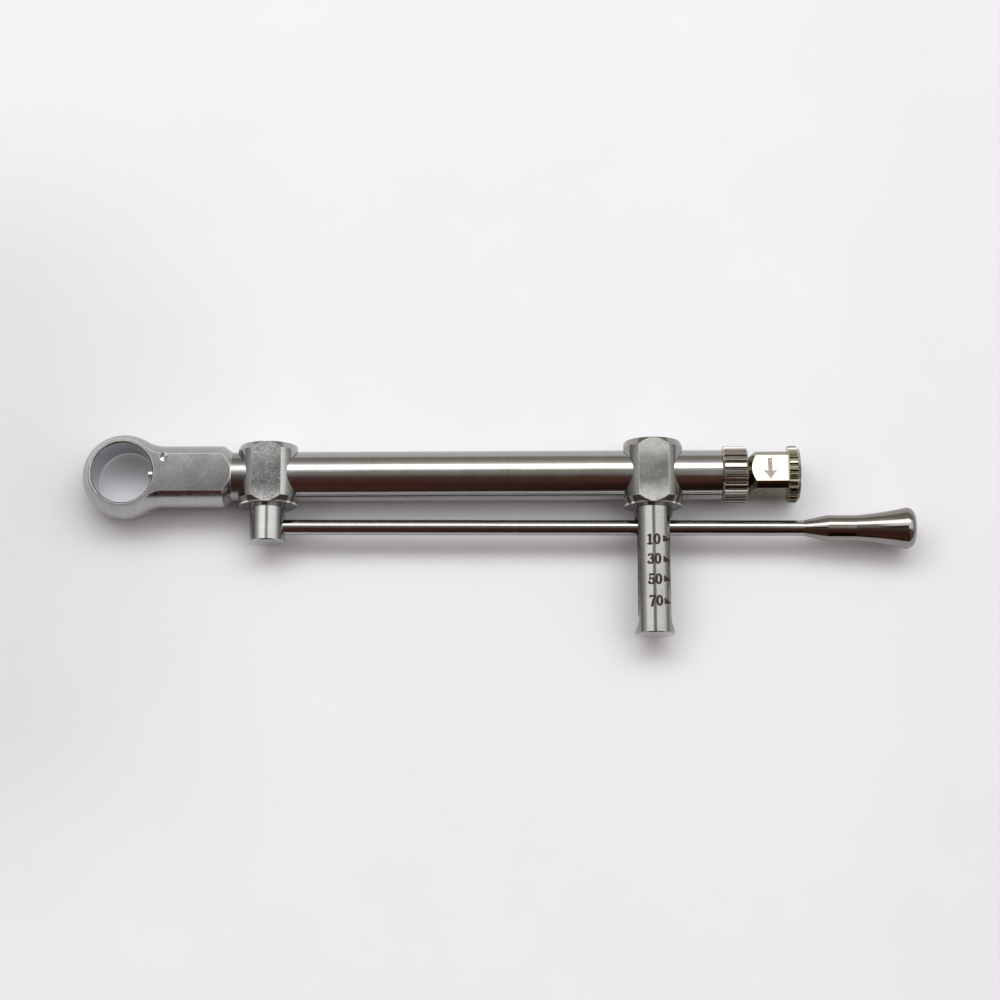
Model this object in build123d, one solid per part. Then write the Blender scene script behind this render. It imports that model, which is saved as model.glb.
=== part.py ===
from build123d import *
from math import cos, pi, radians, sin, sqrt
import os

# Implant torque wrench: a ring-headed ratchet with a deflecting beam and a scale arm.
# Millimetres. Origin: centre of the drive bore, half way through the head.
# +X runs along the handle to the knob, +Z is the side that carries the marks, and the beam is on -Y.

# ---- head -------------------------------------------------------------------
head_half = 2.95          # half thickness between the two flats
ball_r = 5.10             # the ring is turned as a ball, then milled flat
drive_r = 3.65            # drive bore
land_chamfer = 0.16
neck_r = 3.72
neck_fillet = 4.0         # turned hollow between ball and neck
neck_end = 11.95
stub_start = 13.0
stub_r = 2.925
stub_end = 17.1
shank_r = 2.18            # plugs the tube
shank_end = 26.0
pawl_bore_r = 1.50
key_pin_x, key_pin_y, key_pin_r = 5.0, 1.86, 0.52
key_pin_bottom = -1.9

# ---- tube -------------------------------------------------------------------
tube_r, tube_bore_r = 3.0, 2.2
tube_start, tube_end = 17.12, 71.64

# ---- collars ----------------------------------------------------------------
bar_r = 3.86              # round bar, its axis along Y
bar_flat_z = 3.44
bar_flat_x = 3.50
collar_bore_r = 3.02
cone_slope = 0.55         # radius lost per mm of the end cones
front_x, front_half, front_cone = 17.28, 3.65, 2.88
rear_x, rear_half, rear_cone = 63.42, 3.95, 3.10
post_x, post_r, post_end = 17.19, 2.13, -8.05
post_chamfer = 0.12

# ---- beam -------------------------------------------------------------------
beam_y = -6.19            # at the post
beam_lean = 0.34          # the beam leans this much away from the tube at rest
beam_r = 0.925
beam_start = 15.9         # blind hole in the post
beam_hole_r = 0.94
beam_hole_end = 15.7
beam_end = 86.6
grip_start = 81.4
grip_cone_end = 84.2
grip_r1, grip_r2 = 1.56, 2.50
grip_straight_end = 87.5
grip_big = 93.6
grip_end = 94.7

# ---- scale arm --------------------------------------------------------------
arm_r = 2.35
arm_flat_x = 1.88
arm_end = -19.4
slot_half = 1.03
slot_near, slot_far = -4.75, -17.25
runout_r = 2.5

# ---- knurled nut ------------------------------------------------------------
nut_x0, nut_x1 = 71.70, 74.73
nut_crest, nut_valley = 3.40, 3.14
rib_count = 24
rib_land = 0.50           # share of the pitch left as a land
spigot_r = 2.17
spigot_start = 66.0
nut_bore_r = 1.25

# ---- bolt (pawl rod and knob) -----------------------------------------------
tip_x = 2.93
nose_r = 1.28
nose_end = 7.2
guide_r = 1.45
guide_end = 54.0
stem_r = 1.20
stem_end = 78.4
flank_y = -0.30           # driving flank of the tip
tip_top = 0.34

knob_x0 = 74.80
knob_cone_r = 1.95
knob_r = 2.86
knob_flat = 2.34
flange_x0, flange_x1 = 79.52, 80.95
flange_crest, flange_valley = 3.43, 3.24
knob_bore_r = 1.22
knob_bore_end = 78.5
cross_pin_x, cross_pin_r = 76.32, 0.58
knob_turn = -8.0          # the knob rests turned this far about X

# ---- spring and washer --------------------------------------------------------
washer_t = 0.45
washer_r, washer_bore = 2.08, 1.26
wire_r = 0.20
coil_r = 1.66
coils = 10

# travels of the moving pieces, for reference: bolt pull 3.0 along +X, bolt turn 180 about X,
# beam swing 9.6 towards -Y where it crosses the scale arm
bolt_travel = 3.0

os.makedirs("parts", exist_ok=True)


def save(shape, name):
    shape.label = name
    export_step(shape, f"parts/{name}.step")
    print(name, round(shape.volume, 2))


def closed(*edges):
    """A face in the XY plane from edges given in order."""
    return make_face(Wire(list(edges)))


def turned(points):
    """A solid of revolution about X from (x, radius) points."""
    return revolve(make_face(Polyline(*points, close=True)), Axis.X, 360)


def rod(x0, x1, r, y=0.0, z=0.0):
    """A cylinder along X."""
    return extrude(Plane(origin=(x0, y, z), x_dir=(0, 1, 0), z_dir=(1, 0, 0)) * Circle(r), x1 - x0)


def post(y0, y1, r, x=0.0, z=0.0):
    """A cylinder along Y, from y0 down to y1 or up to y1."""
    lo, hi = min(y0, y1), max(y0, y1)
    return extrude(Plane(origin=(x, lo, z), x_dir=(1, 0, 0), z_dir=(0, 1, 0)) * Circle(r), hi - lo)


def pillar(z0, z1, r, x=0.0, y=0.0):
    """A cylinder along Z."""
    return Pos(x, y, (z0 + z1) / 2) * Cylinder(r, z1 - z0)


def leaned(shape):
    """Turned with the beam about the post."""
    return shape.rotate(Axis((post_x, beam_y, 0), (0, 0, 1)), -beam_lean)


def block(x0, x1, y0, y1, z0, z1):
    return Pos((x0 + x1) / 2, (y0 + y1) / 2, (z0 + z1) / 2) * Box(x1 - x0, y1 - y0, z1 - z0)


def ribbed(x0, x1, crest, valley, count):
    """A ribbed cylinder along X: lands with straight-walled grooves between them."""
    step = 2 * pi / count
    half = rib_land * step / 2
    edges = []
    for i in range(count):
        a = (i + 0.5) * step
        p0 = (crest * cos(a - half), crest * sin(a - half))
        p1 = (crest * cos(a), crest * sin(a))
        p2 = (crest * cos(a + half), crest * sin(a + half))
        p3 = (valley * cos(a + step / 2), valley * sin(a + step / 2))
        p4 = (crest * cos(a + step - half), crest * sin(a + step - half))
        edges += [ThreePointArc(p0, p1, p2), Line(p2, p3), Line(p3, p4)]
    face = make_face(Wire(edges))
    plane = Plane(origin=(x0, 0, 0), x_dir=(0, 1, 0), z_dir=(1, 0, 0))
    return extrude(plane * face, x1 - x0)


# ---- ratchet head -------------------------------------------------------------
rise = sqrt((ball_r + neck_fillet) ** 2 - (neck_r + neck_fillet) ** 2)
k = ball_r / (ball_r + neck_fillet)
ball_touch = (rise * k, (neck_r + neck_fillet) * k)
centre = (rise, neck_r + neck_fillet)
a0 = ((ball_touch[0] - centre[0]), (ball_touch[1] - centre[1]))
mid = (a0[0] / neck_fillet + 0.0, a0[1] / neck_fillet - 1.0)
mid_len = sqrt(mid[0] ** 2 + mid[1] ** 2)
hollow_mid = (centre[0] + neck_fillet * mid[0] / mid_len, centre[1] + neck_fillet * mid[1] / mid_len)
outline = closed(
    ThreePointArc((-ball_r, 0), (-ball_r * cos(radians(60)), ball_r * sin(radians(60))), ball_touch),
    ThreePointArc(ball_touch, hollow_mid, (rise, neck_r)),
    Line((rise, neck_r), (neck_end, neck_r)),
    Line((neck_end, neck_r), (stub_start, stub_r)),
    Line((stub_start, stub_r), (stub_end, stub_r)),
    Line((stub_end, stub_r), (stub_end, shank_r)),
    Line((stub_end, shank_r), (shank_end, shank_r)),
    Line((shank_end, shank_r), (shank_end, 0)),
    Line((shank_end, 0), (-ball_r, 0)),
)
head = revolve(outline, Axis.X, 360)
head &= block(-6, 30, -6, 6, -head_half, head_half)
head -= pillar(-4, 4, drive_r)
edge_cone = Pos(0, 0, head_half - land_chamfer / 2) * Cone(drive_r - 0.0, drive_r + land_chamfer, land_chamfer)
head -= edge_cone
head -= mirror(edge_cone, about=Plane.XY)
head -= rod(1.0, 30.0, pawl_bore_r)
head -= pillar(key_pin_bottom, 4, key_pin_r, key_pin_x, key_pin_y)
save(head, "ratchet_head")

# ---- key pin, its end dished by the turning tool --------------------------------
pin = pillar(key_pin_bottom, head_half, key_pin_r, key_pin_x, key_pin_y)
pin -= Pos(key_pin_x, key_pin_y, head_half - 0.07) * Cone(0.02, key_pin_r - 0.04, 0.14)
save(pin, "key_pin")

# ---- tube -----------------------------------------------------------------------
tube = rod(tube_start, tube_end, tube_r) - rod(tube_start - 1, tube_end + 1, tube_bore_r)
save(tube, "handle_tube")


# ---- collars --------------------------------------------------------------------
def collar_bar(x, half, cone_start):
    """Round bar along Y with four flats and a cone at each end."""
    end_r = bar_r - (half - cone_start) * cone_slope
    face = make_face(
        Polyline(
            (0, -half), (end_r, -half), (bar_r, -cone_start), (bar_r, cone_start), (end_r, half), (0, half),
            close=True,
        )
    )
    bar = revolve(face, Axis.Y, 360)
    bar &= block(-bar_flat_x, bar_flat_x, -half, half, -bar_flat_z, bar_flat_z)
    return Pos(x, 0, 0) * bar


front = collar_bar(front_x, front_half, front_cone)
stub = post(-front_half + 0.5, post_end, post_r, post_x)
stub = chamfer(stub.edges().filter_by(GeomType.CIRCLE).sort_by(Axis.Y)[0], post_chamfer)
front += stub
front -= rod(front_x - 5, front_x + 5, collar_bore_r)
front -= leaned(rod(beam_hole_end, 30, beam_hole_r, beam_y))
save(front, "front_collar")

rear = collar_bar(rear_x, rear_half, rear_cone)
arm = post(-rear_half + 0.5, arm_end, arm_r, 0.0)
arm = chamfer(arm.edges().filter_by(GeomType.CIRCLE).sort_by(Axis.Y)[0], 0.10)
# side flats, milled with a round cutter that leaves a hollow run-out at each end
deep = arm_r - arm_flat_x
run = sqrt(runout_r ** 2 - (runout_r - deep) ** 2)
flat_near, flat_far = slot_near - 0.05, arm_end + 0.45
for side in (-1, 1):
    xo, xi = side * arm_r, side * arm_flat_x
    # arc centres lie outside the bar
    c1 = (xi + side * runout_r, flat_near - run)
    c2 = (xi + side * runout_r, flat_far + run)
    ang = 0.5 * (run / runout_r)
    m1 = (c1[0] - side * runout_r * cos(ang), c1[1] + runout_r * sin(ang))
    m2 = (c2[0] - side * runout_r * cos(ang), c2[1] - runout_r * sin(ang))
    p_near = (xi + side * deep, flat_near)
    p_far = (xi + side * deep, flat_far)
    cutter = closed(
        ThreePointArc(p_near, m1, (xi, flat_near - run)),
        Line((xi, flat_near - run), (xi, flat_far + run)),
        ThreePointArc((xi, flat_far + run), m2, p_far),
        Line(p_far, (xo + side * 1.0, flat_far)),
        Line((xo + side * 1.0, flat_far), (xo + side * 1.0, flat_near)),
        Line((xo + side * 1.0, flat_near), p_near),
    )
    arm -= extrude(Pos(0, 0, -3) * cutter, 6)
rear += Pos(rear_x, 0, 0) * arm
rear -= rod(rear_x - 5, rear_x + 5, collar_bore_r)
slot = block(rear_x - 4, rear_x + 4, slot_far + slot_half, slot_near - slot_half, -slot_half, slot_half)
slot += rod(rear_x - 4, rear_x + 4, slot_half, slot_near - slot_half)
slot += rod(rear_x - 4, rear_x + 4, slot_half, slot_far + slot_half)
rear -= slot
save(rear, "rear_collar")

# ---- beam and its grip ------------------------------------------------------------
beam = leaned(rod(beam_start, beam_end, beam_r, beam_y))
save(beam, "torque_beam")

grip_face = closed(
    Line((grip_start, beam_hole_r), (grip_cone_end, grip_r1)),
    Line((grip_cone_end, grip_r1), (grip_straight_end, grip_r1)),
    ThreePointArc((grip_straight_end, grip_r1), (90.7, 1.93), (grip_big, grip_r2)),
    ThreePointArc((grip_big, grip_r2), (94.38, 2.17), (grip_end, 1.40)),
    Line((grip_end, 1.40), (grip_end, 0)),
    Line((grip_end, 0), (beam_end + 0.05, 0)),
    Line((beam_end + 0.05, 0), (beam_end + 0.05, beam_hole_r)),
    Line((beam_end + 0.05, beam_hole_r), (grip_start, beam_hole_r)),
)
grip = leaned(Pos(0, beam_y, 0) * revolve(grip_face, Axis.X, 360))
save(grip, "beam_grip")

# ---- knurled nut: hand-turned, with a spigot that plugs the tube --------------------
nut = ribbed(nut_x0, nut_x1, nut_crest, nut_valley, rib_count)
bevel = 0.30
nut &= turned([
    (nut_x0, 0), (nut_x0, nut_crest - bevel), (nut_x0 + bevel * 0.8, nut_crest + 0.01),
    (nut_x1 - bevel * 0.8, nut_crest + 0.01), (nut_x1, nut_crest - bevel), (nut_x1, 0),
])
nut += rod(spigot_start, nut_x0 + 0.5, spigot_r)
nut -= rod(spigot_start - 1, nut_x1 + 1, nut_bore_r)
save(nut, "knurled_nut")

# ---- pawl rod: bevelled tip, guide, stem --------------------------------------------
bolt = turned([
    (tip_x, 0), (tip_x, nose_r), (nose_end, nose_r), (nose_end + 0.3, guide_r), (guide_end, guide_r),
    (guide_end, stem_r), (stem_end, stem_r), (stem_end, 0),
])
tip_back = 4.05
waste_top = make_face(Polyline((tip_x - 1, tip_top), (tip_x, tip_top), (tip_back, nose_r + 0.2), (tip_x - 1, nose_r + 0.2), close=True))
waste_low = make_face(Polyline((tip_x - 1, flank_y), (tip_back, flank_y), (tip_back, -nose_r - 0.2), (tip_x - 1, -nose_r - 0.2), close=True))
bolt -= extrude(Pos(0, 0, -3) * waste_top, 6)
bolt -= extrude(Pos(0, 0, -3) * waste_low, 6)
bolt -= post(-3, 3, cross_pin_r, cross_pin_x).rotate(Axis.X, knob_turn)
save(bolt, "pawl_rod")

# ---- direction knob --------------------------------------------------------------
knob = turned([
    (knob_x0, 0), (knob_x0, knob_cone_r), (knob_x0 + knob_r - knob_cone_r, knob_r),
    (flange_x0 + 0.3, knob_r), (flange_x0 + 0.3, 0),
])
knob &= block(knob_x0 - 1, flange_x0 + 1, -knob_flat, knob_flat, -knob_flat, knob_flat)
flange = ribbed(flange_x0, flange_x1, flange_crest, flange_valley, rib_count)
flange &= turned([
    (flange_x0, 0), (flange_x0, flange_crest - 0.14), (flange_x0 + 0.14, flange_crest + 0.01),
    (flange_x1 - 0.42, flange_crest + 0.01), (flange_x1, flange_crest - 0.34), (flange_x1, 0),
])
knob += flange
knob -= rod(knob_x0 - 1, knob_bore_end, knob_bore_r)
knob -= post(-4, 4, cross_pin_r, cross_pin_x)
save(knob.rotate(Axis.X, knob_turn), "direction_knob")

# ---- cross pin that holds the knob on the rod, ground flush with the flats ----------
cross = post(-knob_flat, knob_flat, cross_pin_r, cross_pin_x)
save(cross.rotate(Axis.X, knob_turn), "knob_pin")

# ---- thrust washer and spring -------------------------------------------------------
washer = rod(guide_end + 0.02, guide_end + washer_t, washer_r) - rod(guide_end - 1, guide_end + 2, washer_bore)
save(washer, "thrust_washer")

coil_x0 = guide_end + washer_t + wire_r + 0.02
coil_x1 = spigot_start - wire_r - 0.02
helix = Helix(pitch=(coil_x1 - coil_x0) / coils, height=coil_x1 - coil_x0, radius=coil_r, center=(coil_x0, 0, 0), direction=(1, 0, 0))
section_plane = Plane(origin=helix @ 0, z_dir=helix % 0)
spring = sweep(section_plane * Circle(wire_r), path=helix, is_frenet=True)
save(spring, "pawl_spring")
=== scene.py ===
import bpy, bmesh, math, random
import numpy as np
from mathutils import Matrix, Vector


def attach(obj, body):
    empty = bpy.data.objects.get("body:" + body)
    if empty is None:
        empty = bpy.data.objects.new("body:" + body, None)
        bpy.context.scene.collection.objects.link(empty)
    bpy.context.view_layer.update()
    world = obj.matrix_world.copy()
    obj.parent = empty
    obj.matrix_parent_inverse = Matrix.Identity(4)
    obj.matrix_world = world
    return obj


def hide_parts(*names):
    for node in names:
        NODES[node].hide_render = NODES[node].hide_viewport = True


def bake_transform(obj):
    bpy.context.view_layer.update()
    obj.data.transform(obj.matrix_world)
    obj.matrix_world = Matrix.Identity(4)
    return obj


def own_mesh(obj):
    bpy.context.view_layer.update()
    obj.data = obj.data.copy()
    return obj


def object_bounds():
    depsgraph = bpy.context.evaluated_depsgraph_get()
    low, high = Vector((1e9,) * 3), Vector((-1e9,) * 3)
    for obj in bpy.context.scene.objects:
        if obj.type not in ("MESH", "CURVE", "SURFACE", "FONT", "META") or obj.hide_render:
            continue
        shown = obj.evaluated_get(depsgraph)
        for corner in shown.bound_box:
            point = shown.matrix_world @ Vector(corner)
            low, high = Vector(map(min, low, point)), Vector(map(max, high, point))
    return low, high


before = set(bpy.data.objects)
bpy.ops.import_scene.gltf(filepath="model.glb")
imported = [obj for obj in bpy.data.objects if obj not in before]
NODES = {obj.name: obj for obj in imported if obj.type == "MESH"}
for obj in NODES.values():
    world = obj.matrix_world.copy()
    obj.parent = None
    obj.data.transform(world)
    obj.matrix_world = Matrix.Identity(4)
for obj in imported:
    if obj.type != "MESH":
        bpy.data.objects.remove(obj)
cad_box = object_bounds()
MM = 0.001


# ------------------------------------------------------------------ node helpers
def new_mat(name):
    m = bpy.data.materials.new(name)
    m.use_nodes = True
    nt = m.node_tree
    nt.nodes.clear()
    out = nt.nodes.new("ShaderNodeOutputMaterial")
    bsdf = nt.nodes.new("ShaderNodeBsdfPrincipled")
    nt.links.new(bsdf.outputs[0], out.inputs[0])
    return m, nt, bsdf


class G:
    """Short names for the nodes of one tree."""

    def __init__(self, nt):
        self.nt = nt
        self.co = nt.nodes.new("ShaderNodeTexCoord").outputs["Object"]

    def link(self, a, b):
        self.nt.links.new(a, b)

    def _in(self, sock, v):
        if hasattr(v, "is_output"):
            self.link(v, sock)
        else:
            sock.default_value = v

    def math(self, op, a, b=0.0, c=0.0, clamp=False):
        n = self.nt.nodes.new("ShaderNodeMath")
        n.operation = op
        n.use_clamp = clamp
        self._in(n.inputs[0], a)
        self._in(n.inputs[1], b)
        self._in(n.inputs[2], c)
        return n.outputs[0]

    def mapping(self, v, scale=(1, 1, 1), rot=(0, 0, 0), loc=(0, 0, 0)):
        n = self.nt.nodes.new("ShaderNodeMapping")
        self._in(n.inputs[0], v)
        n.inputs[1].default_value = loc
        n.inputs[2].default_value = rot
        n.inputs[3].default_value = scale
        return n.outputs[0]

    def noise(self, v, scale, detail=3.0, rough=0.5, dist=0.0, out="Fac"):
        n = self.nt.nodes.new("ShaderNodeTexNoise")
        self._in(n.inputs["Vector"], v)
        n.inputs["Scale"].default_value = scale
        n.inputs["Detail"].default_value = detail
        n.inputs["Roughness"].default_value = rough
        n.inputs["Distortion"].default_value = dist
        return n.outputs[out]

    def voronoi(self, v, scale, feature="DISTANCE_TO_EDGE", out="Distance", rand=1.0):
        n = self.nt.nodes.new("ShaderNodeTexVoronoi")
        n.feature = feature
        self._in(n.inputs["Vector"], v)
        n.inputs["Scale"].default_value = scale
        n.inputs["Randomness"].default_value = rand
        return n.outputs[out]

    def range(self, v, a, b, c, d, smooth=False):
        n = self.nt.nodes.new("ShaderNodeMapRange")
        n.interpolation_type = "SMOOTHSTEP" if smooth else "LINEAR"
        self._in(n.inputs[0], v)
        for i, x in enumerate((a, b, c, d)):
            n.inputs[i + 1].default_value = x
        return n.outputs[0]

    def mix(self, f, a, b, mode="MIX"):
        n = self.nt.nodes.new("ShaderNodeMix")
        n.data_type = "RGBA"
        n.blend_type = mode
        self._in(n.inputs[0], f)
        self._in(n.inputs[6], a)
        self._in(n.inputs[7], b)
        return n.outputs[2]

    def ramp(self, v, stops):
        n = self.nt.nodes.new("ShaderNodeValToRGB")
        r = n.color_ramp
        while len(r.elements) > 1:
            r.elements.remove(r.elements[-1])
        r.elements[0].position = stops[0][0]
        r.elements[0].color = (*stops[0][1], 1)
        for p, c in stops[1:]:
            e = r.elements.new(p)
            e.color = (*c, 1)
        self._in(n.inputs[0], v)
        return n.outputs[0]

    def bump(self, h, strength, dist, normal=None):
        n = self.nt.nodes.new("ShaderNodeBump")
        n.inputs["Strength"].default_value = strength
        n.inputs["Distance"].default_value = dist
        self._in(n.inputs["Height"], h)
        if normal is not None:
            self._in(n.inputs["Normal"], normal)
        return n.outputs[0]

    def xyz(self, v):
        n = self.nt.nodes.new("ShaderNodeSeparateXYZ")
        self._in(n.inputs[0], v)
        return n.outputs[0], n.outputs[1], n.outputs[2]


def turned_steel(name, axis, tone, rough, ring=0.05, spot=0.03, tint=(1.0, 0.99, 0.965), streak=0.0):
    """Steel turned and polished about one axis: fine rings, faint cloudiness, a few long rub marks."""
    m, nt, b = new_mat(name)
    g = G(nt)
    b.inputs["Metallic"].default_value = 1.0
    turned_nodes(g, b, axis, tone, rough, ring, spot, tint, streak, True)
    return m


def turned_nodes(g, b, axis, tone, rough, ring, spot, tint, streak, wire):
    """Colour, roughness and height of a turned face; the rings vary fast along the axis."""
    fast, slow = 7000.0, 100.0
    sc = tuple(fast if i == axis else slow for i in range(3))
    rings = g.noise(g.mapping(g.co, scale=sc), 1.0, 2.0, 0.6)
    rings2 = g.noise(g.mapping(g.co, scale=tuple(s * 0.23 for s in sc)), 1.0, 2.0, 0.6)
    ls = tuple(60.0 if i == axis else 4200.0 for i in range(3))
    rub = g.range(g.noise(g.mapping(g.co, scale=ls), 1.0, 3.0, 0.7), 0.52, 0.72, 0.0, 1.0)
    cloud = g.noise(g.co, 420.0, 4.0, 0.6)
    fine = g.noise(g.co, 5200.0, 3.0, 0.6)
    f = g.math("MULTIPLY_ADD", rings, 0.5, g.math("MULTIPLY", rings2, 0.5))
    f = g.math("MULTIPLY_ADD", g.math("SUBTRACT", cloud, 0.5), 0.35, f)
    lo = tuple(tone * 0.92 * w for w in tint)
    hi = tuple(min(1.0, tone * 1.07 * w) for w in tint)
    col = g.mix(g.range(f, 0.3, 0.7, 0.0, 1.0), (*lo, 1), (*hi, 1))
    r = g.math("ADD", g.range(rings, 0.3, 0.7, rough * 0.82, rough * 1.18), g.range(cloud, 0.35, 0.7, -0.02, 0.03))
    r = g.math("ADD", r, g.range(fine, 0.62, 0.8, 0.0, spot))
    r = g.math("ADD", r, g.math("MULTIPLY", rub, 0.05 + streak * 0.1))
    h = g.math("MULTIPLY_ADD", rings, 0.7, g.math("MULTIPLY", fine, 0.3))
    h = g.math("MULTIPLY_ADD", rub, streak, h)
    h = g.math("MULTIPLY", h, ring)
    if wire:
        g.link(col, b.inputs["Base Color"])
        g.link(r, b.inputs["Roughness"])
        g.link(g.bump(h, 1.0, 0.00002), b.inputs["Normal"])
    return col, r, h


def milled_nodes(g, tone, rough, tint, scratch, pit, swirl=True, painted_glint=0.0, mottle=0.16, grain=0.0):
    """Colour, roughness and height of a milled, rubbed flat: crossing hairlines, pits, cloudiness."""
    cloud = g.noise(g.co, 300.0, 5.0, 0.62)
    wn = g.nt.nodes.new("ShaderNodeVectorMath")
    wn.operation = "SCALE"
    g._in(wn.inputs[0], g.noise(g.co, 420.0, 2.0, 0.5, out="Color"))
    wn.inputs["Scale"].default_value = 0.0007 if swirl else 0.0002
    warp = g.nt.nodes.new("ShaderNodeVectorMath")
    warp.operation = "ADD"
    g._in(warp.inputs[0], g.co)
    g._in(warp.inputs[1], wn.outputs[0])
    lines = None
    for k, ang in enumerate((12, 57, 101, 148)):
        v = g.mapping(g.mapping(warp.outputs[0], rot=(0, 0, math.radians(ang))), scale=(480.0, 7200.0 + 900 * k, 900.0), loc=(k * 3.1, k, 0))
        n = g.range(g.noise(v, 1.0, 2.0, 0.7), 0.57, 0.70, 0.0, 1.0)
        lines = n if lines is None else g.math("MAXIMUM", lines, n)
    pits = g.range(g.voronoi(g.co, 1500.0, "F1"), 0.0, 0.16, 1.0, 0.0)
    gr = g.noise(g.co, 3600.0, 4.0, 0.7)
    gr2 = g.noise(g.co, 1300.0, 3.0, 0.6)
    lo = tuple(tone * (1 - mottle) * w for w in tint)
    hi = tuple(min(1.0, tone * (1 + mottle) * w) for w in tint)
    f = g.math("MULTIPLY_ADD", gr2, 0.5, g.math("MULTIPLY", cloud, 0.5))
    col = g.mix(g.range(f, 0.38, 0.62, 0.0, 1.0), (*lo, 1), (*hi, 1))
    if grain:
        gn = g.nt.nodes.new("ShaderNodeVectorMath")
        gn.operation = "SCALE"
        g._in(gn.inputs[0], col)
        g._in(gn.inputs["Scale"], g.range(g.noise(g.mapping(g.mapping(g.co, rot=(0, 0, 0.9)), scale=(5200.0, 2600.0, 4000.0)), 1.0, 2.0, 0.7), 0.36, 0.64, 1.0 - grain, 1.0 + grain))
        col = gn.outputs[0]
    br = tuple(min(1.0, tone * 2.0 * w) for w in tint)
    col = g.mix(g.math("MULTIPLY", lines, scratch), col, (*br, 1))
    col = g.mix(g.math("MULTIPLY", pits, pit), col, (tone * 0.3, tone * 0.3, tone * 0.3, 1))
    if painted_glint:
        # painted glints: scattered bright specks mixed into the flat's colour
        cell = g.range(g.voronoi(g.co, 4200.0, "F1"), 0.10, 0.24, 1.0, 0.0)
        some = g.range(g.noise(g.co, 2600.0, 2.0, 0.6), 0.50, 0.62, 0.0, 1.0)
        col = g.mix(g.math("MULTIPLY", g.math("MULTIPLY", cell, some), painted_glint), col, (0.95, 0.96, 0.98, 1))
    r = g.math("ADD", g.range(cloud, 0.3, 0.7, rough - 0.04, rough + 0.04), g.range(gr, 0.3, 0.7, -0.05, 0.05))
    h = g.math("MULTIPLY_ADD", lines, -0.10 * scratch, g.math("MULTIPLY", gr, 0.05))
    h = g.math("MULTIPLY_ADD", gr2, 0.12, h)
    h = g.math("MULTIPLY_ADD", pits, -0.15 * pit, h)
    return col, r, h


def machined_steel(name, axis, mask, turned, milled, shade=None, tone_and_shade=None):
    """Turned faces everywhere but on the flats that mask picks out (1 on a flat)."""
    m, nt, b = new_mat(name)
    g = G(nt)
    b.inputs["Metallic"].default_value = 1.0
    x, y, z = g.xyz(g.co)
    k = mask(g, x, y, z)
    tc, tr, th = turned_nodes(g, b, axis, turned["tone"], turned["rough"], turned.get("ring", 0.05), 0.03, turned.get("tint", (1, 0.99, 0.965)), turned.get("streak", 0.0), False)
    mc, mr, mh = milled_nodes(g, milled["tone"], milled["rough"], milled["tint"], milled["scratch"], milled["pit"], milled.get("swirl", True), milled.get("painted_glint", 0.0), milled.get("mottle", 0.16), milled.get("grain", 0.0))
    # the shade function paints light and shade into the flats' colour
    if shade:
        mc, mr = shade(g, x, y, z, mc, mr)
    c = g.mix(k, tc, mc)
    # the last recolouring paints shade and highlights on the collar ends and the arm, and sets the bore and stub tones
    # on the head
    if tone_and_shade:
        c = tone_and_shade(g, x, y, z, c)
    nt.links.new(c, b.inputs["Base Color"])
    r = g.math("ADD", g.math("MULTIPLY", mr, k), g.math("MULTIPLY", tr, g.math("SUBTRACT", 1.0, k)))
    nt.links.new(r, b.inputs["Roughness"])
    h = g.math("ADD", g.math("MULTIPLY", mh, k), g.math("MULTIPLY", th, g.math("SUBTRACT", 1.0, k)))
    nt.links.new(g.bump(h, 1.0, 0.00002), b.inputs["Normal"])
    return m


def ink(name, col, rough=0.5, metal=0.0, speck=(0.0, 0.0, 0.0)):
    """Laser marking: dark oxide with lighter specks."""
    m, nt, b = new_mat(name)
    g = G(nt)
    n = g.noise(g.co, 5200.0, 3.0, 0.65)
    c = g.mix(g.range(n, 0.42, 0.68, 0.0, 1.0), (*col, 1), (*(min(1, x + y) for x, y in zip(col, speck)), 1))
    nt.links.new(c, b.inputs["Base Color"])
    b.inputs["Metallic"].default_value = metal
    nt.links.new(g.range(n, 0.3, 0.7, rough - 0.1, rough + 0.15), b.inputs["Roughness"])
    return m


def above(g, v, limit):
    return g.math("GREATER_THAN", v, limit)


def head_flats(g, x, y, z):
    return above(g, g.math("ABSOLUTE", z), 0.002935)


def collar_flats(xc, end):
    def f(g, x, y, z):
        on = g.math("MAXIMUM", above(g, g.math("ABSOLUTE", z), 0.003425), above(g, g.math("ABSOLUTE", g.math("SUBTRACT", x, xc)), 0.003485))
        return g.math("MAXIMUM", on, g.math("LESS_THAN", y, end + 0.00001))
    return f


def painted_reflection_ends(top, bottom, light, more, low=None, grain=0.0):
    """Painted reflection: the flat's colour is lighter towards both ends and a little rougher there; top and bottom
    give where that starts and is full, in mm.
    """
    def f(g, x, y, z, col, r):
        up = g.range(y, top[0] * MM, top[1] * MM, 0.0, 1.0, smooth=True)
        dn = g.range(y, bottom[0] * MM, bottom[1] * MM, 0.0, 1.0, smooth=True)
        k = g.math("ADD", up, dn, clamp=True)
        c = g.mix(g.math("GREATER_THAN", y, 0.0), (*(low or light), 1), (*light, 1))
        if grain:
            n = g.nt.nodes.new("ShaderNodeVectorMath")
            n.operation = "SCALE"
            g._in(n.inputs[0], c)
            g._in(n.inputs["Scale"], g.range(g.noise(g.mapping(g.mapping(g.co, rot=(0, 0, 0.9)), scale=(6200.0, 2200.0, 4000.0)), 1.0, 2.0, 0.7), 0.36, 0.64, 1.0 - grain, 1.0 + grain))
            c = n.outputs[0]
        return g.mix(k, col, c), g.math("MULTIPLY_ADD", k, more, r)
    return f


def head_painted_shade(g, x, y, z, col, r):
    # painted shade: the flats are coloured lighter towards the north and darker towards the south
    k = g.range(y, 0.0021, -0.0021, 1.25, 0.74)
    n = g.nt.nodes.new("ShaderNodeVectorMath")
    n.operation = "SCALE"
    g._in(n.inputs[0], col)
    g._in(n.inputs["Scale"], k)
    return n.outputs[0], r


BAR_R = 0.00386


def between(g, v, lo, hi):
    return g.math("MULTIPLY", g.math("GREATER_THAN", v, lo), g.math("LESS_THAN", v, hi))


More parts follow.
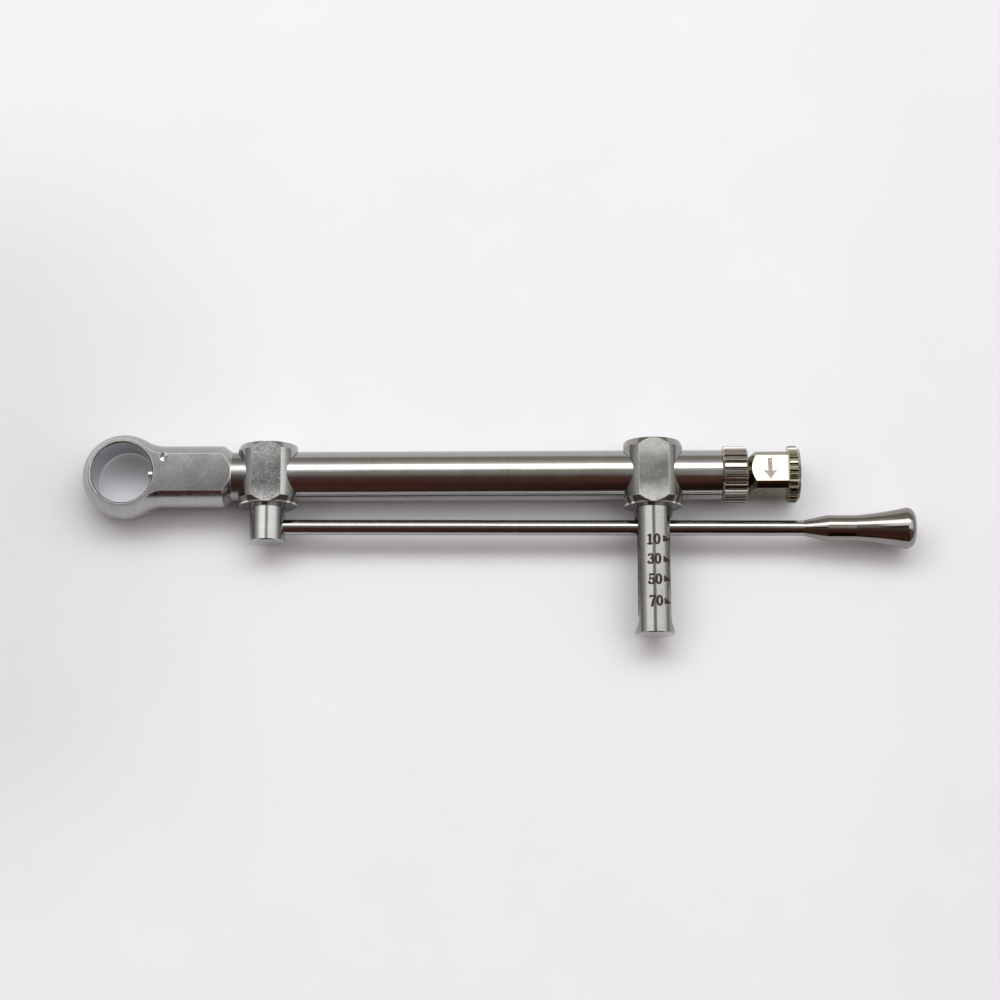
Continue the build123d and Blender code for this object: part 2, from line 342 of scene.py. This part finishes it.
def head_bore(g, x, y, z, c):
    r2 = g.math("ADD", g.math("MULTIPLY", x, x), g.math("MULTIPLY", y, y))
    k = g.math("LESS_THAN", r2, 0.00366 ** 2)
    c = g.mix(k, c, (0.60, 0.62, 0.66, 1))
    stub = g.range(x, 0.01298, 0.01302, 0.0, 1.0)
    return g.mix(stub, c, (0.275, 0.27, 0.265, 1))


def collar_end(xc, yc, cone):
    """Painted shade: the faced south end and the cone before it are coloured dark, standing in for the dark floor they
    reflect; the lip between them has a painted highlight.
    """
    def f(g, x, y, z, c):
        k = g.math("LESS_THAN", g.math("ABSOLUTE", g.math("SUBTRACT", y, yc)), 0.000006)
        r = g.math("SQRT", g.math("ADD", g.math("POWER", g.math("SUBTRACT", x, xc), 2.0), g.math("MULTIPLY", z, z)))
        rc = g.math("SUBTRACT", BAR_R, g.math("MULTIPLY", g.math("SUBTRACT", cone, y), 0.55))
        on = g.math("MULTIPLY", g.math("LESS_THAN", g.math("ABSOLUTE", g.math("SUBTRACT", r, rc)), 0.00003), between(g, y, yc, cone))
        c = g.mix(on, c, (0.17, 0.16, 0.145, 1))
        lip = g.math("MULTIPLY", on, g.math("LESS_THAN", y, yc + 0.00017))
        c = g.mix(lip, c, (0.90, 0.88, 0.84, 1))
        return g.mix(k, c, (0.13, 0.125, 0.115, 1))
    return f


def arm_slot(g, x, y, z, c):
    """Painted shade: the inside of the slot and the milled sides of the arm are coloured dark."""
    dx_ = g.math("ABSOLUTE", g.math("SUBTRACT", x, 0.06342))
    along = between(g, y, -0.0173, -0.0041)
    slot = g.math("MULTIPLY", g.math("LESS_THAN", g.math("ABSOLUTE", z), 0.001035), g.math("LESS_THAN", dx_, 0.0019))
    side = g.math("MULTIPLY", between(g, dx_, 0.001874, 0.00189), g.math("LESS_THAN", g.math("ABSOLUTE", z), 0.00145))
    k = g.math("MULTIPLY", g.math("MAXIMUM", slot, side), between(g, y, -0.0190, -0.0041))
    c = g.mix(k, c, (0.10, 0.095, 0.085, 1))
    return collar_end(0.06342, -0.00395, -0.00310)(g, x, y, z, c)


F0 = 0.38
MATS = {
    "ratchet_head": machined_steel("head_steel", 0, head_flats, dict(tone=0.395, rough=0.23, ring=0.010, tint=(1.0, 0.995, 0.985)),
                                   dict(tone=0.222, rough=0.155, tint=(1.0, 1.0, 0.995), scratch=0.14, pit=0.15, painted_glint=0.35, mottle=0.07, grain=0.05), head_painted_shade, head_bore),
    "handle_tube": turned_steel("tube_steel", 0, F0, 0.12, streak=0.35),
    "front_collar": machined_steel("front_collar_steel", 1, collar_flats(0.01728, -0.00805), dict(tone=0.40, rough=0.135, ring=0.03),
                                   dict(tone=0.225, rough=0.125, tint=(0.97, 0.99, 1.03), scratch=0.5, pit=0.2, painted_glint=1.0, mottle=0.10, grain=0.13),
                                   painted_reflection_ends((0.2, 3.0), (-1.5, -3.5), (0.33, 0.33, 0.335), 0.05, (0.50, 0.50, 0.505), 0.26), collar_end(0.01728, -0.00365, -0.00288)),
    "rear_collar": machined_steel("rear_collar_steel", 1, collar_flats(0.06342, -0.0194), dict(tone=0.315, rough=0.095, ring=0.03, tint=(1.0, 0.98, 0.93)),
                                  dict(tone=0.30, rough=0.14, tint=(1.0, 0.99, 0.965), scratch=0.08, pit=0.7, swirl=False, painted_glint=0.3),
                                  painted_reflection_ends((0.6, 3.0), (-0.9, -3.2), (0.50, 0.495, 0.475), 0.06, (0.60, 0.595, 0.575), 0.05), arm_slot),
    "torque_beam": turned_steel("beam_steel", 0, 0.34, 0.10, streak=0.3),
    "beam_grip": turned_steel("grip_steel", 0, 0.27, 0.065, streak=0.3, tint=(1.0, 0.975, 0.90)),
    "knurled_nut": turned_steel("nut_steel", 0, 0.34, 0.12, tint=(1.0, 0.925, 0.83)),
    "knob_pin": turned_steel("knob_pin_steel", 1, 0.20, 0.16, tint=(1.0, 0.86, 0.62)),
    "thrust_washer": turned_steel("washer_steel", 0, 0.42, 0.25),
    "pawl_spring": turned_steel("spring_wire", 0, 0.36, 0.30),
}
def pin_dish():
    """Dished pin end, turned: a painted highlight on two opposite sides of it, the colour dark between them."""
    m, nt, b = new_mat("pin_steel")
    g = G(nt)
    b.inputs["Metallic"].default_value = 1.0
    x, y, z = g.xyz(g.co)
    box = [Vector(c) for c in NODES["key_pin"].bound_box]
    cx, cy = (max(v[i] for v in box) / 2 + min(v[i] for v in box) / 2 for i in (0, 1))
    a = g.math("ARCTAN2", g.math("SUBTRACT", y, cy), g.math("SUBTRACT", x, cx))
    k = g.math("COSINE", g.math("MULTIPLY", g.math("SUBTRACT", a, math.radians(58)), 2.0))
    k = g.range(k, 0.15, 0.85, 0.0, 1.0, smooth=True)
    n = g.noise(g.co, 5200.0, 3.0, 0.6)
    nt.links.new(g.mix(k, (0.16, 0.16, 0.16, 1), (0.78, 0.78, 0.77, 1)), b.inputs["Base Color"])
    nt.links.new(g.range(n, 0.3, 0.7, 0.42, 0.52), b.inputs["Roughness"])
    return m


def rod_steel():
    m, nt, b = new_mat("rod_steel")
    g = G(nt)
    b.inputs["Metallic"].default_value = 1.0
    x, y, z = g.xyz(g.co)
    c, r, h = turned_nodes(g, b, 0, 0.42, 0.20, 0.05, 0.03, (1.0, 0.99, 0.965), 0.0, False)
    # painted shade: a thin dark line along the pawl's tip, splitting its highlight in two
    dark_band = g.math("MULTIPLY", g.math("LESS_THAN", x, 0.0041), g.math("LESS_THAN", g.math("ABSOLUTE", g.math("SUBTRACT", y, 0.00002)), 0.00010))
    nt.links.new(g.mix(dark_band, c, (0.06, 0.06, 0.06, 1)), b.inputs["Base Color"])
    nt.links.new(r, b.inputs["Roughness"])
    nt.links.new(g.bump(h, 1.0, 0.00002), b.inputs["Normal"])
    return m


def knob_steel():
    m, nt, b = new_mat("knob_steel")
    g = G(nt)
    b.inputs["Metallic"].default_value = 1.0
    x, y, z = g.xyz(g.co)
    c, r, h = turned_nodes(g, b, 0, 0.33, 0.085, 0.05, 0.03, (1.0, 0.975, 0.79), 0.0, False)
    a = math.radians(8.0)
    # painted shade: the south facet is coloured darker, standing in for the shadowed floor it reflects
    k = g.math("LESS_THAN", g.math("SUBTRACT", g.math("MULTIPLY", y, math.cos(a)), g.math("MULTIPLY", z, math.sin(a))), -0.002335)
    nt.links.new(g.mix(k, c, (0.185, 0.155, 0.105, 1)), b.inputs["Base Color"])
    nt.links.new(r, b.inputs["Roughness"])
    nt.links.new(g.bump(h, 1.0, 0.00002), b.inputs["Normal"])
    return m


MATS["direction_knob"] = knob_steel()
MATS["key_pin"] = pin_dish()
MATS["pawl_rod"] = rod_steel()
# painted highlight: the head and collar edges get a much lighter steel than their faces, so the rounded edges show
# bright lines
EDGES = {
    "ratchet_head": turned_steel("head_edge", 0, 0.72, 0.36, ring=0.0),
    "front_collar": turned_steel("front_collar_edge", 1, 0.74, 0.34, ring=0.0, spot=0.2),
    "rear_collar": turned_steel("rear_collar_edge", 1, 0.74, 0.26, ring=0.0, tint=(1.0, 0.98, 0.94)),
    "knurled_nut": turned_steel("nut_edge", 0, 0.37, 0.15, ring=0.0, tint=(1.0, 0.94, 0.85)),
    "direction_knob": turned_steel("knob_edge", 0, 0.38, 0.15, ring=0.0, tint=(0.95, 1.0, 0.66)),
}
for n, m in MATS.items():
    for s in NODES[n].material_slots:
        s.material = m


# ------------------------------------------------------------------ finer copies with broken edges
def fine_copy(node, body, width, angle=15.0, segments=2, merge=True):
    """The node's own mesh with its sharp edges rounded, as a deburring leaves them."""
    src = NODES[node]
    bm = bmesh.new()
    bm.from_mesh(src.data)
    bmesh.ops.remove_doubles(bm, verts=bm.verts, dist=2e-7)
    if merge:
        bmesh.ops.dissolve_limit(bm, angle_limit=math.radians(0.4), use_dissolve_boundaries=False, verts=bm.verts, edges=bm.edges, delimit=set())
    for f in bm.faces:
        f.material_index = 0
    sharp = [e for e in bm.edges if len(e.link_faces) == 2 and e.calc_face_angle(0) > math.radians(angle)]
    res = bmesh.ops.bevel(bm, geom=sharp, offset=width * MM, offset_type="WIDTH", segments=segments, profile=0.5, affect="EDGES", clamp_overlap=merge, loop_slide=merge, material=1)
    for f in res["faces"]:
        if f.is_valid:
            f.material_index = 1
    bmesh.ops.triangulate(bm, faces=[f for f in bm.faces if len(f.verts) > 4])
    bm.normal_update()
    # a broken edge turns from one face's normal to the other's; the faces keep their own
    limit = math.cos(math.radians(angle))
    normals = []
    for f in bm.faces:
        f.smooth = True
        for lp in f.loops:
            acc = Vector((0, 0, 0))
            main = [l2 for l2 in lp.vert.link_loops if l2.face.material_index == 0]
            if f.material_index == 0:
                for l2 in main:
                    if l2.face.normal.dot(f.normal) > limit:
                        acc += l2.face.normal * l2.calc_angle()
            else:
                for l2 in (main or lp.vert.link_loops):
                    acc += l2.face.normal * l2.calc_angle()
            normals.append(acc.normalized() if acc.length > 1e-9 else f.normal.copy())
    me = bpy.data.meshes.new(node + "_fine")
    bm.to_mesh(me)
    bm.free()
    me.normals_split_custom_set(normals)
    o = bpy.data.objects.new(node + "_fine", me)
    bpy.context.scene.collection.objects.link(o)
    o.matrix_world = src.matrix_world
    me.materials.append(MATS[node])
    me.materials.append(EDGES[node])
    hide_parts(node)
    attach(o, body)
    return o


fine_copy("ratchet_head", "handle", 0.035, merge=False)
fine_copy("front_collar", "handle", 0.06)
fine_copy("rear_collar", "handle", 0.05)
fine_copy("knurled_nut", "handle", 0.04, 25)
fine_copy("direction_knob", "bolt", 0.04, 25)


# ------------------------------------------------------------------ torque beam (leans slightly about the post)
BEAM_Y, BEAM_R = -6.19, 0.925


def lathe_mesh(name, profile, seg, y0=0.0, z0=0.0, closed_ends=True):
    """Mesh of revolution about the line y0, z0 along X, in mm; profile is (x, r)."""
    bm = bmesh.new()
    rings = []
    for x, r in profile:
        if r < 1e-6:
            rings.append([bm.verts.new((x * MM, y0 * MM, z0 * MM))])
        else:
            rings.append([
                bm.verts.new((x * MM, (y0 + r * math.cos(2 * math.pi * k / seg)) * MM, (z0 + r * math.sin(2 * math.pi * k / seg)) * MM))
                for k in range(seg)
            ])
    for a, b in zip(rings, rings[1:]):
        for k in range(seg):
            k2 = (k + 1) % seg
            if len(a) == 1 and len(b) == 1:
                continue
            if len(a) == 1:
                bm.faces.new((a[0], b[k2], b[k]))
            elif len(b) == 1:
                bm.faces.new((a[k], a[k2], b[0]))
            else:
                bm.faces.new((a[k], a[k2], b[k2], b[k]))
    bmesh.ops.recalc_face_normals(bm, faces=bm.faces)
    me = bpy.data.meshes.new(name)
    bm.to_mesh(me)
    bm.free()
    for p in me.polygons:
        p.use_smooth = True
    o = bpy.data.objects.new(name, me)
    bpy.context.scene.collection.objects.link(o)
    return o


prof = [(15.95, 0.0), (15.95, 0.82), (16.05, BEAM_R)]
x = 16.6
while x < 86.0:
    prof.append((x, BEAM_R))
    x += 0.6
prof += [(86.4, BEAM_R), (86.5, 0.84), (86.5, 0.0)]
beam = lathe_mesh("beam_wire", prof, 48, BEAM_Y)
LEAN = math.radians(-0.34)
pivot = Vector((17.19 * MM, BEAM_Y * MM, 0))
beam.data.transform(Matrix.Translation(pivot) @ Matrix.Rotation(LEAN, 4, "Z") @ Matrix.Translation(-pivot))
beam.data.materials.append(MATS["torque_beam"])
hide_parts("torque_beam")
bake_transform(beam)

# ------------------------------------------------------------------ pawl spring
SP0, SP1, TURNS, COIL_R, WIRE_R = 54.67, 65.78, 10, 1.66, 0.20
bm = bmesh.new()
rings = []
steps = TURNS * 28
for i in range(steps + 1):
    a = 2 * math.pi * i / 28
    x = SP0 + (SP1 - SP0) * i / steps
    slope = math.atan2((SP1 - SP0) / TURNS, 2 * math.pi * COIL_R)
    c = Vector((x, COIL_R * math.cos(a), COIL_R * math.sin(a)))
    rad = Vector((0, math.cos(a), math.sin(a)))
    bi = Vector((math.cos(slope), math.sin(slope) * math.sin(a), -math.sin(slope) * math.cos(a)))
    rings.append([bm.verts.new((c + WIRE_R * (math.cos(t) * rad + math.sin(t) * bi)) * MM) for t in (2 * math.pi * j / 10 for j in range(10))])
for a, b in zip(rings, rings[1:]):
    for j in range(10):
        bm.faces.new((a[j], a[(j + 1) % 10], b[(j + 1) % 10], b[j]))
bm.faces.new(rings[0])
bm.faces.new(rings[-1])
bmesh.ops.recalc_face_normals(bm, faces=bm.faces)
me = bpy.data.meshes.new("spring_coil")
bm.to_mesh(me)
bm.free()
for p in me.polygons:
    p.use_smooth = True
spring = bpy.data.objects.new("spring_coil", me)
bpy.context.scene.collection.objects.link(spring)
me.materials.append(MATS["pawl_spring"])
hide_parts("pawl_spring")
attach(spring, "handle")
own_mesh(spring)

# ------------------------------------------------------------------ marks
INK_DARK = ink("mark_ink", (0.012, 0.008, 0.006), 0.55, 0.0, (0.06, 0.045, 0.035))
INK_ARROW = ink("arrow_ink", (0.30, 0.24, 0.22), 0.5, 0.0, (0.34, 0.32, 0.30))
INK_RING = ink("ring_ink", (0.09, 0.08, 0.075), 0.5, 0.3, (0.05, 0.05, 0.045))
for im in (INK_DARK, INK_ARROW, INK_RING):
    im.node_tree.nodes["Principled BSDF"].inputs["Specular IOR Level"].default_value = 0.25


def mark(name, body, mat, inside, u0, u1, v0, v1, step, place):
    """Small quads laid on a surface wherever inside(u, v) holds; place maps u, v in mm to a point in mm."""
    nu, nv = int(math.ceil((u1 - u0) / step)), int(math.ceil((v1 - v0) / step))
    U, V = np.meshgrid(u0 + (np.arange(nu) + 0.5) * step, v0 + (np.arange(nv) + 0.5) * step, indexing="ij")
    on = inside(U, V)
    bm = bmesh.new()
    grid = {}

    def vert(i, j):
        if (i, j) not in grid:
            grid[i, j] = bm.verts.new(Vector(place(u0 + i * step, v0 + j * step)) * MM)
        return grid[i, j]
    for i, j in zip(*np.nonzero(on)):
        i, j = int(i), int(j)
        bm.faces.new((vert(i, j), vert(i + 1, j), vert(i + 1, j + 1), vert(i, j + 1)))
    me = bpy.data.meshes.new(name)
    bm.to_mesh(me)
    bm.free()
    for p in me.polygons:
        p.use_smooth = True
    o = bpy.data.objects.new(name, me)
    bpy.context.scene.collection.objects.link(o)
    me.materials.append(mat)
    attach(o, body)
    return o


def strokes(parts):
    """Inside test for a set of strokes; each is a list of (u, v, half width)."""
    def f(U, V):
        on = np.zeros(U.shape, bool)
        for pts in parts:
            for (ax_, ay_, aw), (bx_, by_, bw) in zip(pts, pts[1:]):
                L = (bx_ - ax_) ** 2 + (by_ - ay_) ** 2
                k = np.clip(((U - ax_) * (bx_ - ax_) + (V - ay_) * (by_ - ay_)) / L, 0, 1)
                dd = np.hypot(U - ax_ - k * (bx_ - ax_), V - ay_ - k * (by_ - ay_))
                on |= dd < aw + k * (bw - aw)
        return on
    return f


def arc(cx, cy, rx, ry, a0, a1, w0, w1, n=18):
    """Points of an elliptical stroke, thin at its ends and w1 wide where it runs upright."""
    out_ = []
    for i in range(n + 1):
        a_ = math.radians(a0 + (a1 - a0) * i / n)
        out_.append((cx + rx * math.cos(a_), cy + ry * math.sin(a_), w0 + (w1 - w0) * abs(math.cos(a_))))
    return out_


GLYPHS = {
    "0": [arc(0.38, 0.60, 0.27, 0.52, 0, 360, 0.075, 0.125, 36)],
    "1": [[(0.36, 0.06, 0.12), (0.36, 1.08, 0.12)], [(0.10, 0.065, 0.065), (0.62, 0.065, 0.065)], [(0.36, 1.13, 0.06), (0.12, 0.98, 0.05)]],
    "3": [arc(0.34, 0.87, 0.23, 0.25, 150, -80, 0.065, 0.115), arc(0.34, 0.36, 0.27, 0.29, 80, -155, 0.065, 0.125), [(0.28, 0.625, 0.05), (0.42, 0.625, 0.05)]],
    "5": [[(0.16, 1.11, 0.09), (0.64, 1.11, 0.09)], [(0.18, 1.10, 0.055), (0.15, 0.66, 0.055)], arc(0.33, 0.37, 0.28, 0.30, 128, -155, 0.065, 0.125)],
    "7": [[(0.10, 1.10, 0.10), (0.66, 1.10, 0.10)], [(0.66, 1.06, 0.07), (0.42, 0.60, 0.10), (0.30, 0.04, 0.12)], [(0.10, 1.10, 0.06), (0.09, 0.92, 0.04)]],
}
ARM_X, ARM_R = 63.42, 2.35


def on_arm(u, v):
    return (u, v, math.sqrt((ARM_R + 0.004) ** 2 - (u - ARM_X) ** 2))


for label, yc, ty, tip in (("10", -8.26, -8.17, -8.19), ("30", -10.63, -10.66, -10.78), ("50", -13.07, -13.00, -13.12), ("70", -15.66, -15.69, -15.86)):
    sh = 0.027 * (-8.26 - yc)
    for k, ch in enumerate(label):
        ux = 62.50 + sh + 0.82 * k
        f = strokes([[(x * 1.02 + ux, (y - 0.6) * 1.07 + yc, w_ * 1.22 + 0.012) for x, y, w_ in st_] for st_ in GLYPHS[ch]])
        mark("digit_%s_%d" % (label, k), "handle", INK_DARK, f, ux - 0.15, ux + 0.92, yc - 0.8, yc + 0.8, 0.02, on_arm)

    def wedge(U, V, b=64.42 + 0.35 * sh, e=65.29, ty=ty, tip=tip):
        k = (U - b) / (e - b)
        top, low = ty + 0.42, ty - 0.40
        return (k > 0) & (k < 1) & (V < top + (tip + 0.02 - top) * k) & (V > low + (min(tip - 0.05, low + 0.2) - low) * k)
    mark("tick_%s" % label, "handle", INK_DARK, wedge, 64.40, 65.30, ty - 0.56, ty + 0.56, 0.02, on_arm)

TURN = Matrix.Rotation(math.radians(-8.0), 3, "X")


def arrow(U, V):
    shaft = (np.abs(U - 77.38) < 0.27) & (V < 1.28) & (V > -0.3)
    k = (V + 1.41) / 1.22
    head = (k > 0) & (k < 1) & (np.abs(U - 77.38) < 0.86 * k)
    notch = (V > -0.20 - 0.28 * (1 - np.abs(U - 77.38) / 0.86)) & (np.abs(U - 77.38) > 0.27)
    return shaft | (head & ~notch)


mark("arrow", "bolt", INK_ARROW, arrow, 76.4, 78.4, -1.5, 1.4, 0.02, lambda u, v: TURN @ Vector((u, v, 2.344)))
mark("pin_ring", "bolt", INK_RING, lambda U, V: np.abs(np.hypot(U - 76.28, V + 0.06) - 0.60) < 0.055, 75.6, 77.0, -0.7, 0.7, 0.02,
     lambda u, v: TURN @ Vector((u, -2.344, v)))

# ------------------------------------------------------------------ camera
TH, PSI, RHO = math.radians(12.215), math.radians(0.313), math.radians(-0.188)
DIST, X0, Y0, PX = 0.291163, 0.0450887, -0.0029715, 8.3332
back = Vector((math.sin(PSI) * math.cos(TH), -math.sin(TH), math.cos(TH) * math.cos(PSI))).normalized()
right0 = Vector((0, 1, 0)).cross(back).normalized()
up0 = back.cross(right0)
right = right0 * math.cos(RHO) + up0 * math.sin(RHO)
up = up0 * math.cos(RHO) - right0 * math.sin(RHO)
loc = Vector((X0, Y0, 0)) + back * DIST
cam_data = bpy.data.cameras.new("camera")
cam = bpy.data.objects.new("camera", cam_data)
bpy.context.scene.collection.objects.link(cam)
rot = Matrix((right, up, back)).transposed()
cam.matrix_world = Matrix.Translation(loc) @ rot.to_4x4()
cam_data.sensor_width = 36.0
cam_data.lens = PX * 1000 * DIST / 1000 * 36.0
cam_data.clip_start = 0.005
cam_data.clip_end = 20
bpy.context.scene.camera = cam

# ------------------------------------------------------------------ floor
FLOOR = cad_box[0][2]
bm = bmesh.new()
bmesh.ops.create_grid(bm, x_segments=8, y_segments=8, size=2.0)
me = bpy.data.meshes.new("floor")
bm.to_mesh(me)
bm.free()
floor = bpy.data.objects.new("floor", me)
floor.location = (0.045, 0, FLOOR - 0.00002)
bpy.context.scene.collection.objects.link(floor)
fm, nt, b = new_mat("floor_paper")
g = G(nt)
n = g.noise(g.co, 60.0, 5.0, 0.6)
c = g.mix(g.range(n, 0.3, 0.7, 0.0, 1.0), (0.862, 0.852, 0.888, 1), (0.884, 0.874, 0.910, 1))
fx, fy, fz = g.xyz(g.co)
# painted shade: the paper is darkened towards the left, near the object's row, and a little towards the right,
# standing in for the light falling off
dim = g.math("MULTIPLY", g.range(fx, -0.026, -0.058, 0.0, 0.13), g.range(g.math("ABSOLUTE", g.math("ADD", fy, 0.004)), 0.022, 0.056, 1.0, 0.0, smooth=True))
dim = g.math("MAXIMUM", dim, g.range(fx, 0.035, 0.056, 0.0, 0.03, smooth=True))
n = nt.nodes.new("ShaderNodeVectorMath")
n.operation = "SCALE"
g._in(n.inputs[0], c)
g._in(n.inputs["Scale"], g.math("SUBTRACT", 0.985, dim))
nt.links.new(n.outputs[0], b.inputs["Base Color"])
b.inputs["Roughness"].default_value = 0.75
b.inputs["Specular IOR Level"].default_value = 0.1
me.materials.append(fm)


# ------------------------------------------------------------------ light
def area(name, direction, dist, w, h, radiance, col=(1, 1, 1)):
    """Panel at a direction (degrees north and east of the zenith) that looks at the object."""
    n, e = (math.radians(v) for v in direction)
    d = Vector((math.tan(e), math.tan(n), 1.0)).normalized()
    L = bpy.data.lights.new(name, "AREA")
    L.shape = "RECTANGLE"
    L.size, L.size_y = w, h
    L.energy = radiance * math.pi * w * h
    L.color = col
    o = bpy.data.objects.new(name, L)
    p = Vector((0.045, 0, 0)) + d * dist
    z = d
    xax = Vector((1, 0, 0))
    y = z.cross(xax).normalized()
    xax = y.cross(z).normalized()
    o.matrix_world = Matrix.Translation(p) @ Matrix((xax, y, z)).transposed().to_4x4()
    bpy.context.scene.collection.objects.link(o)
    return o


area("panel_north", (32, 0), 0.60, 0.90, 0.235, 3.0)
w = bpy.data.worlds.new("studio")
bpy.context.scene.world = w
w.use_nodes = True
nt = w.node_tree
nt.nodes.clear()
out = nt.nodes.new("ShaderNodeOutputWorld")
bg = nt.nodes.new("ShaderNodeBackground")
nt.links.new(bg.outputs[0], out.inputs[0])
g = G(nt)
d = nt.nodes.new("ShaderNodeTexCoord").outputs["Generated"]
dx, dy, dz = g.xyz(d)
ax = g.math("ABSOLUTE", dx)
theta = g.math("ARCTAN2", dy, dz)
t = g.range(theta, -math.pi, math.pi, 0.0, 1.0)


def st(deg, c):
    return ((deg + 180) / 360, c)


# the room as the polished pieces see it, from south (negative degrees) over the zenith to north
middle = g.ramp(t, [
    st(-110, (0.30, 0.30, 0.30)), st(-90, (0.030, 0.018, 0.010)), st(-83, (0.035, 0.019, 0.011)), st(-72, (0.065, 0.030, 0.021)),
    st(-52, (0.082, 0.028, 0.021)), st(-33, (0.130, 0.056, 0.045)), st(-22, (0.122, 0.066, 0.051)), st(-14, (0.15, 0.10, 0.09)),
    st(-8, (0.24, 0.19, 0.18)), st(-2, (0.36, 0.34, 0.32)), st(10, (0.42, 0.41, 0.38)), st(15, (0.65, 0.64, 0.60)), st(20, (1.2, 1.2, 1.15)),
    st(46, (1.2, 1.2, 1.15)), st(53, (0.78, 0.76, 0.70)), st(59, (0.55, 0.53, 0.48)), st(65, (0.44, 0.42, 0.37)), st(75, (0.36, 0.34, 0.29)),
    st(84, (0.42, 0.40, 0.34)), st(92, (0.6, 0.58, 0.54)), st(110, (0.6, 0.6, 0.6)),
])
panel_e = g.ramp(dz, [(0.0, (0.30, 0.30, 0.29)), (0.17, (0.46, 0.46, 0.45)), (0.34, (0.70, 0.70, 0.68)), (0.50, (1.45, 1.45, 1.42)), (0.9, (1.68, 1.68, 1.65))])
panel_w = g.ramp(dz, [(0.0, (0.24, 0.24, 0.24)), (0.14, (0.32, 0.32, 0.32)), (0.34, (0.50, 0.50, 0.50)), (0.50, (0.78, 0.78, 0.78)), (0.62, (1.25, 1.25, 1.25)), (0.72, (1.8, 1.8, 1.8)), (0.95, (1.95, 1.95, 1.95))])
panel = g.mix(above(g, dx, 0.0), panel_w, panel_e)
wall = g.ramp(g.range(theta, -math.pi / 2, math.pi / 2, 0.0, 1.0), [(0.0, (0.16, 0.15, 0.145)), (0.35, (0.26, 0.25, 0.245)), (0.6, (0.40, 0.40, 0.39)), (1.0, (0.40, 0.39, 0.36))])
band = g.math("MULTIPLY", g.range(dy, -0.30, -0.10, 0.0, 1.0, smooth=True), g.range(dy, 0.42, 0.60, 1.0, 0.0, smooth=True))
side = g.mix(band, wall, panel)
# a dark gap low in the west, between the lit wall and the zenith
dark_band = g.math("MULTIPLY", g.range(dy, 0.15, 0.05, 0.0, 1.0, smooth=True), g.range(dx, -0.62, -0.48, 0.0, 1.0, smooth=True))
dark_band = g.math("MULTIPLY", dark_band, g.math("MULTIPLY", g.math("LESS_THAN", dx, 0.0), g.range(dy, -0.34, -0.24, 0.0, 1.0, smooth=True)))
side = g.mix(dark_band, side, (0.11, 0.08, 0.07, 1))
near = g.math("MULTIPLY", g.range(ax, 0.10, 0.22, 0.0, 1.0, smooth=True), g.range(theta, math.radians(-26), math.radians(-8), 0.0, 1.0, smooth=True))
far = g.range(ax, 0.28, 0.60, 0.0, 1.0, smooth=True)
south = g.range(theta, math.radians(-42), math.radians(-66), 0.0, 1.0, smooth=True)
fade = g.math("ADD", 1.0, g.math("MULTIPLY", south, g.range(dx, -0.08, 0.10, 0.7, -0.82)))
n = nt.nodes.new("ShaderNodeVectorMath")
n.operation = "SCALE"
g._in(n.inputs[0], middle)
g._in(n.inputs["Scale"], fade)
nt.links.new(g.mix(g.math("MAXIMUM", near, far), n.outputs[0], side), bg.inputs[0])
bg.inputs[1].default_value = 1.0

vs = bpy.context.scene.view_settings
vs.view_transform = "Standard"
vs.look = "None"
vs.exposure = 0.0
vs.gamma = 1.0
